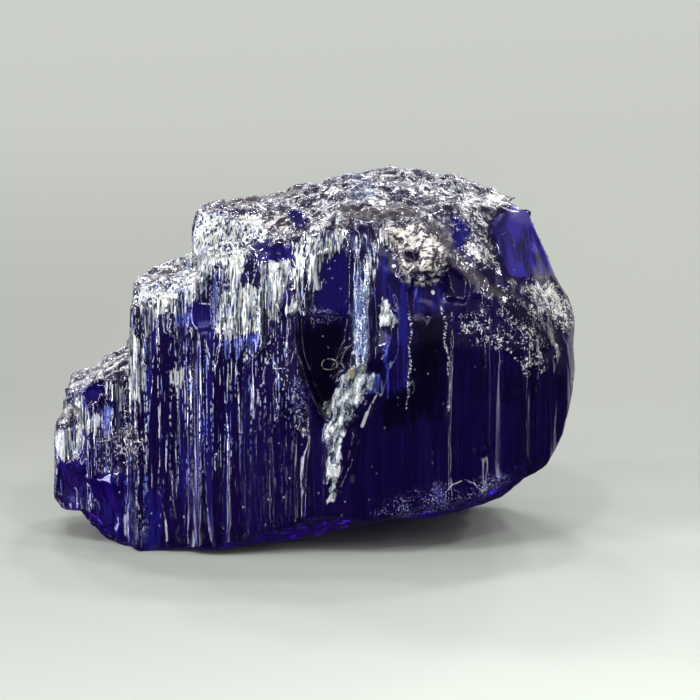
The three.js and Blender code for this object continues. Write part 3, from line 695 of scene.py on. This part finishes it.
def makeTanzanite():
    material = bpy.data.materials.new("tanzanite")
    material.use_nodes = True
    tree = material.node_tree
    tree.nodes.clear()
    bench = Bench(tree)
    use = tanzaniteSettings
    coordinates = bench.add("ShaderNodeTexCoord", None, None, 3)
    place = bench.scaled(coordinates, 1 / mm)
    held = {}
    for name in fieldNames + ("lump",):
        settings = {"attribute_type": "GEOMETRY", "attribute_name": name}
        held[name] = bench.add("ShaderNodeAttribute", settings, None, 2)
    x, y, z = bench.split(place)

    frontX, frontZ = held["frontX"], held["frontZ"]
    cellColour, cellEdge = columnCells(bench, place)
    randomA, randomB, randomC = bench.split(cellColour)
    wander = bench.noise(place, scale=2.2, detail=3.0, roughness=0.6) - 0.5
    # the front's striae keep running up its slopes, so depth counts less there
    grain = bench.join(x, y * (1 - held["shown"].ease(0.0, 1.0) * 0.75), z)
    lines = bench.noise(bench.stretch(grain, 12.0, 0.05), detail=1.0)
    threads = bench.noise(bench.stretch(grain, 25.0, 1.0), detail=0.0)
    patches = bench.noise(bench.stretch(grain, 1.7, 0.6), detail=2.0)
    dots = bench.noise(bench.stretch(grain, 14.0, 7.0), detail=1.0)
    dashes = bench.noise(bench.stretch(grain, 20.0, 1.6), detail=1.0)
    grains = bench.noise(place, scale=20.0, detail=0.0)
    ledges = bench.noise(bench.stretch(place, 3.0, 9.0), detail=1.0, distortion=0.4)
    swirls = bench.noise(place, scale=1.3, detail=2.0, roughness=0.55, distortion=1.0)
    worms = bench.noise(place, scale=2.8, detail=1.5, roughness=0.5, distortion=0.9)
    furrows = 1 - abs(worms - 0.5) * 6
    specks = bench.cells(bench.stretch(place, 4.0, 3.0)).ease(0.14, 0.08) * wander.ease(0.0, 0.1)
    # fibres run down the scar, which leans to the left
    fibre = bench.join((x * 0.956 - z * 0.293) * 4.0, y * 3.0, (x * 0.293 + z * 0.956) * 1.5)
    fibres = bench.noise(fibre, detail=4.0, roughness=0.7)

    def zone(name, ragged=0.2, low=-0.04, high=0.06):  # 1 inside, with an uneven edge
        return (held[name] + wander * ragged).ease(low, high)

    crown = zone("crown", 0.45, -0.1, 0.12)
    window = zone("window", 0.18)
    violet = zone("violet", 0.35)
    lilac = zone("lilac", 0.3, -0.08, 0.14)
    ledge = (held["ledge"] + wander * 0.35 + (grains - 0.5) * 0.25).ease(-0.03, 0.05)
    tall = (randomA - 0.5) * 0.5 + (lines - 0.5) * 0.6
    dark = (held["dark"] + wander * 0.4 + tall * 0.5).ease(-0.2, 0.25)
    blue = (held["blue"] + wander * 0.3 + tall * 0.4).ease(-0.08, 0.14)
    cream = (held["cream"] + wander * 1.2 + (grains - 0.5) * 0.5).ease(0.05, 0.8)
    brown = zone("brown", 0.3, -0.1, 0.1)
    mauve = zone("mauve", 0.3, -0.1, 0.14)
    rib = zone("rib", 0.3)
    scar = (held["scar"] + (fibres - 0.5) * 0.8 + wander * 0.3).ease(-0.02, 0.05)
    etched = crown * (1 - window)
    plain = (1 - etched) * (1 - window)
    front = held["shown"].ease(0.0, 0.2)
    lined = x.ease(2.0, -1.0)
    streaks = (dashes - 0.5) * 1.2 + (dots - 0.5) * 0.5
    streaks = streaks + (lines - 0.5) * 0.6 + (patches - 0.5) * 0.9
    strand = threads * 0.35 + dashes * 0.3 + dots * 0.15 + lines * 0.2
    strand = strand + (randomA - 0.5) * 0.06 + (patches - 0.5) * 0.35

    # fine relief, in mm, from masks without uneven edges, which would show as creases
    rawEtched = held["crown"].atLeast(held["cream"]).ease(-0.15, 0.15)
    rawEtched = rawEtched * held["window"].ease(0.12, -0.08)
    rawPlain = (1 - rawEtched) * held["window"].ease(0.05, -0.05)
    rawSilver = held["silver"].atLeast(held["rib"]).atLeast(held["glitter"]).ease(-0.1, 0.2)
    hidden = held["shown"].ease(0.1, -0.1)
    height = 0.005 * lines * (1 - rawEtched) * held["window"].ease(0.35, -0.1)
    height = height * (0.15 + 0.85 * lined).atLeast(hidden)
    height = height + 0.012 * dots * rawSilver * rawPlain
    height = height + 0.04 * fibres * held["scar"].ease(-0.1, 0.1)
    height = height + (0.05 * swirls + 0.026 * worms + 0.004 * grains) * rawEtched
    bump = bench.add("ShaderNodeBump", None, {"Strength": 1.0, "Distance": mm, "Height": height})

    rough = 0.03 + 0.07 * plain + 0.08 * etched
    gem = bench.add("ShaderNodeBsdfPrincipled", None, {
        "Base Color": use["clearTint"], "Roughness": rough, "IOR": use["ior"],
        "Transmission Weight": 1.0, "Normal": bump})

    # the skin over the clear crystal, painted from the deepest layer to the finest marks
    blueColumn = (randomB * 0.7 + patches * 0.6).ease(0.76, 0.84) * frontX.ease(-1.0, -4.5)
    coat = Coat(bench, bench.blend(blueColumn, use["columnViolet"], use["columnBlue"]),
                plain * (0.28 + randomB.ease(0.3, 0.8) * 0.3))
    # painted glow: the clear windows are painted a bright blue
    coat.paint(window, use["windowGlow"], 0.45)
    blueTone = (lines * 0.4 + dashes * 0.35 + patches * 0.25).ease(0.44, 0.56)
    coat.paint(blue, bench.blend(blueTone, use["columnViolet"], use["deepBlue"]), 0.6)
    # painted glow on the upper right facet, brighter towards its right edge, with a painted lilac
    # highlight at its top
    violetTone = (lines * 0.4 + patches * 0.6 + wander * 0.3).ease(0.42, 0.54)
    violetTone = violetTone * (0.1 + 0.9 * (frontX + wander).ease(5.95, 6.4))
    violetTone = bench.blend(violetTone, use["columnViolet"], use["violetGlow"])
    coat.paint(violet, violetTone, 0.85)
    coat.paint(lilac * violet, use["lilacGlow"], 0.8)
    # painted shade: the hollow and the other dark places are painted nearly black
    coat.paint(dark, use["darkShade"], 0.85)
    # painted light: bright pale blue streaks
    sky = (held["sky"] + streaks * 0.9).ease(0.1, 0.3)
    coat.paint(sky, bench.blend(strand.ease(0.46, 0.62), use["lineBlue"], use["skyBlue"]), 0.7)

    # painted highlights: pale streaks down the columns, with the dark stone between them
    streakHighlights = bench.blend(randomB.ease(0.45, 0.6), use["silver"], use["cream"])
    streakHighlights = bench.blend(strand.ease(0.47, 0.56), use["paleGreen"], streakHighlights)
    streakHighlights = bench.blend(strand.ease(0.475, 0.42), streakHighlights, use["streakShade"])
    coat.paint((held["silver"] + streaks).ease(0.02, 0.14) * (1 - etched), streakHighlights, 0.9)

    # etched crown: a mauve film, partly the etched skin's own colour and partly painted reflection of
    # the room, with painted shade in its recesses, violet where it is thin, and painted highlights as
    # white curls and silver tips
    filmAndReflection = bench.blend((swirls * 0.6 + grains * 0.4).ease(0.4, 0.6), use["mauve"], use["greyFilm"])
    lump = held["lump"]
    # painted shade: the film turns dark in the recesses between the lumps
    shadedGaps = (lump + (worms - 0.5) * 0.8 + (grains - 0.5) * 0.4).ease(-0.1, -0.24)
    filmAndReflection = bench.blend(shadedGaps, filmAndReflection, use["recessShade"])
    filmAndReflection = bench.blend(brown, filmAndReflection, use["brown"])
    coat.paint(etched * (1 - violet * 0.9), filmAndReflection, 0.62)
    # painted highlights: white curls on the lumps, and silver on their tips
    curlHighlights = abs(worms - 0.5).ease(0.09, 0.025) * (swirls + wander * 0.7).ease(0.44, 0.56)
    curlHighlights = curlHighlights * grains.ease(0.15, 0.35) * lump.ease(-0.25, -0.05)
    curlHighlights = curlHighlights.atLeast((grains * 0.4 + worms * 0.6).ease(0.57, 0.63))
    curlHighlights = curlHighlights * etched * (1 - mauve * 0.8) * (1 - dark)
    coat.paint(curlHighlights, bench.blend(randomC, use["curlHighlight"], use["warmCurlHighlight"]), 0.85)
    tips = (worms * 0.6 + grains * 0.4 + lump * 0.25).ease(0.56, 0.63)
    tips = tips * etched * (1 - mauve) * (1 - violet)
    coat.paint(tips, use["silver"], 0.9)
    coat.paint(mauve, use["smoothMauve"], 0.6)

    # the brow: painted shade in its hollows (brown), grey slopes and painted highlights on its crests
    # (cream)
    grit = grains * 0.3 + ledges * 0.5 + furrows * 0.2
    grit = grit + wander * 0.25 + cream * 0.1 - 0.05 + lump * 0.1
    coat.paint(cream * grit.ease(0.54, 0.48), use["brown"], 0.85)
    coat.paint(cream * grit.ease(0.49, 0.54), use["creamShade"], 0.85)
    coat.paint(cream * grit.ease(0.55, 0.59), use["cream"], 0.92)
    # painted shade: the holes of the ledges are painted nearly black
    coat.paint(ledge, use["holeShade"], 0.9)
    # painted highlights, tinted pale blue, on the crown's top
    topSky = (held["sky"] + (patches - 0.5) * 2.0 + wander).ease(0.1, 0.5) * etched
    coat.paint(topSky * (grains * 0.6 + worms * 0.4).ease(0.5, 0.6), use["iceBlue"], 0.6)

    # painted glints: broken glitter, scattered by how strong its zone is
    sown = grains * 0.45 + dots * 0.15 + furrows * 0.15 + wander * 0.4
    # the frosted zones: blue mottling with a painted lilac glow and painted silver glints
    frost = (grains * 0.35 + patches * 0.35 + swirls * 0.3 + held["frost"] * 0.12).ease(0.5, 0.64)
    frost = frost * held["frost"].ease(-0.05, 0.3)
    frostTone = bench.blend(frost.ease(0.3, 0.9), use["columnBlue"], use["lilacGlow"])
    frostTone = bench.blend(frost * grains.ease(0.6, 0.68) * 0.6, frostTone, use["silver"])
    coat.paint(frost, frostTone, 0.6)
    sown = sown + held["glitter"] * 0.3 + (dashes - 0.5) * 0.2 + lump * 0.22
    glints = sown.ease(0.49, 0.56) * held["glitter"].ease(-0.15, 0.05)
    glintTone = bench.blend(sown.ease(0.54, 0.66), use["greyBlue"], use["silver"])
    coat.paint(held["glitter"].ease(0.15, 0.5) * (1 - window), use["mauve"], 0.75)
    coat.paint(glints * (1 - window), bench.blend(randomC * glints, glintTone, use["cream"]), 0.9)

    # painted glints: bright chains and crests down the columns
    chain = cellEdge.ease(0.03, 0.01) * dots.ease(0.48, 0.57)
    crest = (threads * 0.5 + lines * 0.5).ease(0.58, 0.605) * dots.ease(0.42, 0.5)
    high = (frontZ * 0.5 - frontX * 0.35 + (patches - 0.5) * 3.0).ease(1.6, 3.9)
    glintLines = chain.atLeast(crest) * plain * (0.04 + 0.96 * lined) * (0.5 + 0.5 * randomC)
    glintLines = glintLines * (1 - blue * 0.7) * (1 - dark * 0.9) * (1 - cream) * (1 - hidden * 0.6)
    glintLines = glintLines.ease(0.32, 0.6) * (0.15 + 0.85 * high)
    coat.paint(glintLines, bench.blend(dashes.ease(0.45, 0.55), use["silver"], use["skyBlue"]), 0.9)

    # the rib, the scar and loose specks
    mottle = grains * 0.3 + strand * 0.45 + swirls * 0.25 + frontZ.ease(8.0, 9.6) * 0.05
    mottle = mottle + held["rib"].ease(0.14, 0.03) * 0.04
    ribTone = bench.blend(mottle.ease(0.41, 0.49), use["lineBlue"], use["ribPale"])
    ribTone = bench.blend(mottle.ease(0.54, 0.6), ribTone, use["silver"])
    rib = rib * (held["rib"] * 0.3 + streaks * frontZ.ease(8.2, 9.6)).ease(-0.08, 0.06)
    coat.paint(rib * mottle.ease(0.42, 0.48), ribTone, 0.85)
    worn = fibres * 0.85 + grains * 0.15
    scarTone = bench.blend(worn.ease(0.42, 0.53), use["scarShade"], use["scarPale"])
    tips = (worn + frontZ.ease(4.6, 3.6) * 0.03).ease(0.53, 0.57)
    scarTone = bench.blend(tips, scarTone, use["silver"])
    coat.paint(scar, scarTone, 0.25 + 0.7 * worn.ease(0.4, 0.48))
    # painted glints: loose silver specks
    coat.paint(specks * (1 - etched) * (0.3 + 0.7 * lined), use["silver"], 0.8)

    # fine lines, two stained spots and a small ring
    crumbTone = bench.blend(grains.ease(0.57, 0.64), use["ribPale"], use["silver"])
    colours = {"white": use["white"], "blue": use["lineBlue"], "crumbs": crumbTone}
    crumbled = (grains * 0.6 + dots * 0.4).ease(0.52, 0.56)
    dotted = dots.ease(0.35, 0.5) * 0.8
    spot = bench.join(frontX, frontZ, 0.0)
    for name, strokes in fineMarks.items():
        mark = None
        for half, corners in strokes:
            line = nearLine(bench, spot, inMm(corners), half)
            if name != "crumbs" and half <= use["finestLine"]:
                line = line * dotted
            mark = line if mark is None else mark.atLeast(line)
        if name == "crumbs":
            mark = mark * crumbled
        coat.paint(mark * front, colours[name], use["lineCover"])
    for name, colour in (("ochreSpot", use["ochre"]), ("brownSpot", use["brown"])):
        spotX, spotZ, across, up = use[name]
        away = bench.join((frontX - spotX) / across, (frontZ - spotZ) / up, 0.0)
        away = bench.vector("LENGTH", away)
        coat.paint((away + wander * 0.8).ease(1.1, 0.7) * front, colour, 0.7)
    loopX, loopZ, across, up = use["loop"]
    ring = bench.join((frontX - loopX) / across, (frontZ - loopZ) / up, 0.0)
    ring = abs(bench.vector("LENGTH", ring) - 1 + wander * 0.5).ease(0.09, 0.03)
    coat.paint(ring * dots.ease(0.42, 0.54) * front, use["white"], 0.6)
    rough = use["filmRoughness"] + 0.1 * etched + 0.1 * violet
    skin = bench.add("ShaderNodeBsdfPrincipled", None, {
        "Base Color": coat.colour, "Roughness": rough, "Metallic": use["filmMetal"],
        "IOR": use["ior"], "Specular IOR Level": 0.2, "Normal": bump})
    surface = bench.add("ShaderNodeMixShader", None, [coat.cover, gem, skin])

    # 1 - colour is what one unit of density takes away, so the strongest channel sets the density
    density = max(use["absorbPerMm"]) * 1.1
    body = tuple(1 - a / density for a in use["absorbPerMm"]) + (1,)
    depth = bench.add("ShaderNodeVolumeAbsorption", None, {"Color": body, "Density": density / mm})
    bench.add("ShaderNodeOutputMaterial", None, {"Surface": surface, "Volume": depth})
    print("tanzanite:", len(tree.nodes), "nodes")
    return material


roomSettings = {
    "floorColour": (0.33, 0.34, 0.315, 1),
    "floorNear": (0.66, 0.7, 0.64, 1),
    "floorFar": (0.385, 0.4, 0.37, 1),
    "floorSize": 4.0,        # metres
    "skyLow": (0.02, 0.015, 0.03, 1),
    "skyMiddle": (0.13, 0.133, 0.135, 1),
    "skyHigh": (0.1, 0.105, 0.11, 1),
    "lightDistance": 600.0,  # mm
    "bounces": 6,
    "mirrorBounces": 3,
}
# Soft panels round the crystal: azimuth and elevation of the middle, width and height as seen
# from the crystal, all in degrees, and how bright they are. The tall narrow ones reach below
# the floor's level, so upright faces of the crystal can mirror them.
lightPanels = [
    ("overhead", 0, 52, 44, 40, 1.1),
    ("backGlow", 180, 24, 80, 22, 0.9),
    ("stripLeft", -52, 4, 7, 72, 10),
    ("stripRight", 40, 4, 4, 66, 5),
    ("edgeLeft", -98, 4, 10, 66, 5),
    ("edgeRight", 128, 4, 22, 60, 0.9),
    ("stripBackLeft", -148, 14, 8, 60, 2.2),
    ("stripBackRight", 152, 16, 8, 56, 2),
]
# Small bright lamps, which give the sharp glints: azimuth and elevation
sparkLamps = {
    "places": [(-18, 56), (28, 46), (-62, 38), (76, 42), (162, 24), (-166, 40), (150, 55),
               (-140, 30), (180, 70)],
    "size": 4.5,  # degrees
    "glow": 55,
}


def placeAround(azimuth, elevation, distance, centre):  # azimuth 0 is in front, towards -Y
    turn, lift = math.radians(azimuth), math.radians(elevation)
    away = Vector((math.sin(turn) * math.cos(lift), -math.cos(turn) * math.cos(lift), math.sin(lift)))
    return centre + away * distance * mm


def addPanel(name, azimuth, elevation, width, height, glow, centre):
    distance = roomSettings["lightDistance"]
    light = bpy.data.lights.new(name, "AREA")
    light.shape = "RECTANGLE"
    light.size = 2 * distance * mm * math.tan(math.radians(width / 2))
    light.size_y = 2 * distance * mm * math.tan(math.radians(height / 2))
    light.energy = 4 * glow * light.size * light.size_y
    lamp = bpy.data.objects.new(name, light)
    lamp.location = placeAround(azimuth, elevation, distance, centre)
    lamp.rotation_euler = (centre - lamp.location).to_track_quat("-Z", "Y").to_euler()
    lamp.visible_camera = False
    bpy.context.scene.collection.objects.link(lamp)


def addLights(centre):
    for panel in lightPanels:
        addPanel(*panel, centre)
    size = sparkLamps["size"]
    for index, (azimuth, elevation) in enumerate(sparkLamps["places"]):
        addPanel("spark.%d" % index, azimuth, elevation, size, size, sparkLamps["glow"], centre)
    print("lights:", len(lightPanels) + len(sparkLamps["places"]))


def addWorld():
    world = bpy.data.worlds.new("room")
    bpy.context.scene.world = world
    world.cycles.sampling_method = "NONE"  # the sky is even, and a render is quicker so
    world.use_nodes = True
    world.node_tree.nodes.clear()
    bench = Bench(world.node_tree)
    direction = bench.add("ShaderNodeTexCoord", None, None, 0)
    up = bench.split(direction)[2]
    stops = [(0.0, roomSettings["skyLow"]), (0.49, roomSettings["skyLow"]),
             (0.56, roomSettings["skyMiddle"]), (1.0, roomSettings["skyHigh"])]
    sky = bench.add("ShaderNodeValToRGB", {"stops": stops}, {0: up * 0.5 + 0.5})
    glow = bench.add("ShaderNodeBackground", None, {"Color": sky, "Strength": 1.0})
    bench.add("ShaderNodeOutputWorld", None, {"Surface": glow})


def addFloor():
    half = roomSettings["floorSize"] / 2
    mesh = bpy.data.meshes.new("floor")
    corners = [(-half, -half, 0), (half, -half, 0), (half, half, 0), (-half, half, 0)]
    mesh.from_pydata(corners, [], [(0, 1, 2, 3)])
    floor = bpy.data.objects.new("floor", mesh)
    bpy.context.scene.collection.objects.link(floor)
    material = bpy.data.materials.new("paleFloor")
    material.use_nodes = True
    material.node_tree.nodes.clear()
    bench = Bench(material.node_tree)
    place = bench.scaled(bench.add("ShaderNodeTexCoord", None, None, 3), 1 / mm)
    x, y = bench.split(place)[:2]
    # painted light: the floor is lighter in front of the crystal, more so to the right, and a little
    # lighter far back and to the right
    right = x.ease(-16.0, 16.0)
    near = y.ease(24.0, -30.0) * (0.7 + 0.4 * right)
    far = y.ease(25.0, 110.0).atLeast(right)
    colour = bench.blend(far, roomSettings["floorColour"], roomSettings["floorFar"])
    colour = bench.blend(near, colour, roomSettings["floorNear"])
    paint = bench.add("ShaderNodeBsdfDiffuse", None, {"Color": colour})
    bench.add("ShaderNodeOutputMaterial", None, {"Surface": paint})
    mesh.materials.append(material)
    floor.visible_glossy = False  # or its glare would grey the dark faces


cameraSettings = {
    "distance": 120.0,              # mm
    "elevation": 11.0,              # degrees
    "width": 22.93,                 # mm across the view at the crystal
    "viewPixels": 700,
    "middlePixel": (314.5, 352.0),  # where the crystal's middle lies in the view
    "sensor": 36.0,
    "nearest": 0.002,               # metres
    "farthest": 10.0,
}


def addCamera(box):
    use = cameraSettings
    low, high = box
    centre = Vector((0, 0, (low[2] + high[2]) / 2))
    place = placeAround(0, use["elevation"], use["distance"], centre)
    forward = (centre - place).normalized()
    right = forward.cross(Vector((0, 0, 1))).normalized()
    up = right.cross(forward)
    scale = use["width"] * mm / use["viewPixels"]
    across, down = [use["viewPixels"] / 2 - pixel for pixel in use["middlePixel"]]
    aim = centre + right * across * scale - up * down * scale
    camera = bpy.data.cameras.new("camera")
    camera.sensor_width = use["sensor"]
    camera.lens = use["sensor"] * use["distance"] / use["width"]
    camera.clip_start = use["nearest"]
    camera.clip_end = use["farthest"]
    eye = bpy.data.objects.new("camera", camera)
    eye.location = place
    eye.rotation_euler = (aim - place).to_track_quat("-Z", "Y").to_euler()
    bpy.context.scene.collection.objects.link(eye)
    bpy.context.scene.camera = eye
    print("camera: %.0f mm lens" % camera.lens)
    return centre


scene = bpy.context.scene
scene.view_settings.view_transform = "Standard"
scene.cycles.max_bounces = roomSettings["bounces"]
scene.cycles.transmission_bounces = roomSettings["bounces"]
scene.cycles.glossy_bounces = roomSettings["mirrorBounces"]
scene.cycles.use_light_tree = False  # the lamps are all equally far away, so it only takes time

centre = addCamera(solidBox)
addWorld()
addFloor()
addLights(centre)
crystal = makeCrystal(makeTanzanite())
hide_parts("tanzanite_crystal")
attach(crystal, "root")
